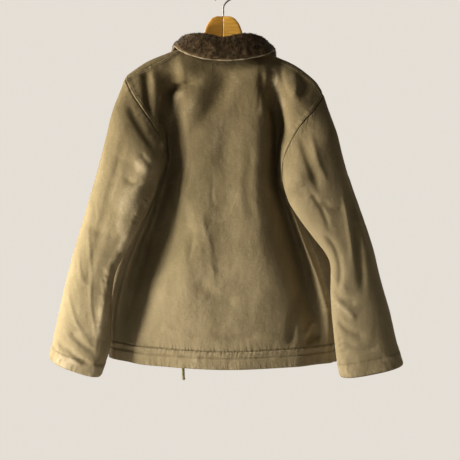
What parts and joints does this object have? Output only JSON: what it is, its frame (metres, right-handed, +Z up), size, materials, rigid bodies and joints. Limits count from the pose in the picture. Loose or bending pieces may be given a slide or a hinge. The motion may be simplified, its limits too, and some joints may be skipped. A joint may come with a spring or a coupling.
{
  "type": "deck jacket on a wooden hanger",
  "caption": "Waist-length work jacket with a pile collar, long sleeves and a stitched hem band, hanging from the wire hook of a wooden hanger.",
  "frame": {"origin": "inside the top of the hanger's hook, where it rests on a rail or a wall hook", "axes": "+Z up, +Y out of the jacket's back, +X towards the wearer's left sleeve"},
  "size_m": [0.7429, 0.1714, 0.8301],
  "materials": {
    "shell_cloth": "worn ribbed cotton",
    "collar_pile": "deep pile",
    "collar_cloth": "worn cotton",
    "button_plastic": "satin",
    "hanger_wood": "varnished",
    "hook_metal": "dull",
    "cord_cotton": "braided cotton"
  },
  "bodies": {
    "root": {"back": "shell_cloth", "front_left": "shell_cloth", "front_right": "shell_cloth", "sleeve_left": "shell_cloth", "sleeve_right": "shell_cloth", "hem_band": "shell_cloth", "front_flap": "shell_cloth", "collar_pile": "collar_pile", "collar_cloth": "collar_cloth", "button_1": "button_plastic", "button_2": "button_plastic", "button_3": "button_plastic", "button_4": "button_plastic", "button_5": "button_plastic", "hanger_arm_left": "hanger_wood", "hanger_arm_right": "hanger_wood", "hanger_hook": "hook_metal", "drawcord_end": "cord_cotton"}
  },
  "joints": []
}
